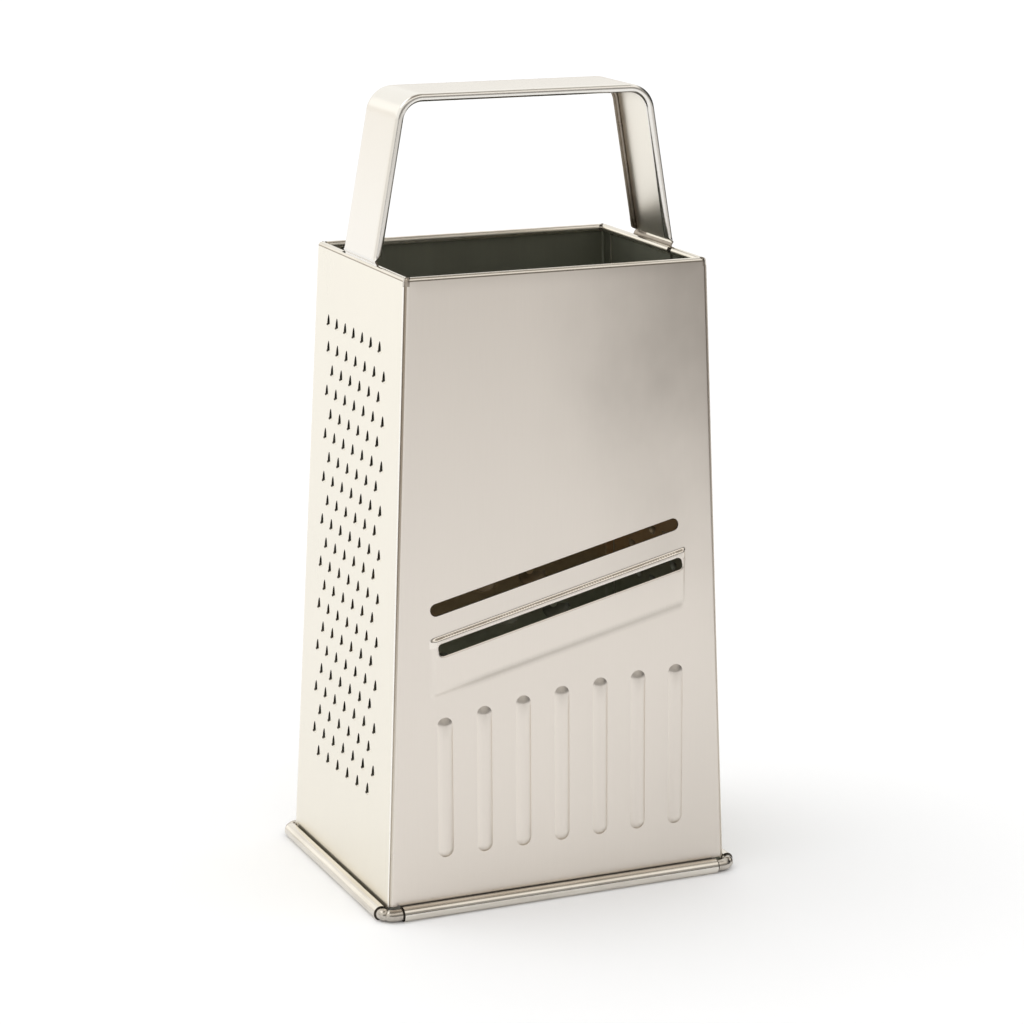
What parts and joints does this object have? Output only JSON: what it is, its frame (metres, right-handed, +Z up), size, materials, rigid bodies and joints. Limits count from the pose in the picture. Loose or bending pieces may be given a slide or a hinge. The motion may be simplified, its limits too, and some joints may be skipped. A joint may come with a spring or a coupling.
{
  "type": "box grater",
  "caption": "Sheet-steel box grater with a slicing side, toothed grating sides, a wired rim and foot, and a strap handle across the top.",
  "frame": {"origin": "on the table, under the middle of the body", "axes": "+Z up, +X to the right along the slicing side, whose outward normal is -Y; the fine grating side faces -X"},
  "size_m": [0.1072, 0.0796, 0.215],
  "materials": {
    "body_sheet": "fine upright brushed grain, satin",
    "edge_wire": "plain drawn wire",
    "handle_strap": "polished satin strap"
  },
  "bodies": {
    "root": {"front_panel": "body_sheet", "left_panel": "body_sheet", "back_panel": "body_sheet", "right_panel": "body_sheet", "foot_wire": "edge_wire", "rim_wire": "edge_wire", "handle": "handle_strap"}
  },
  "joints": []
}
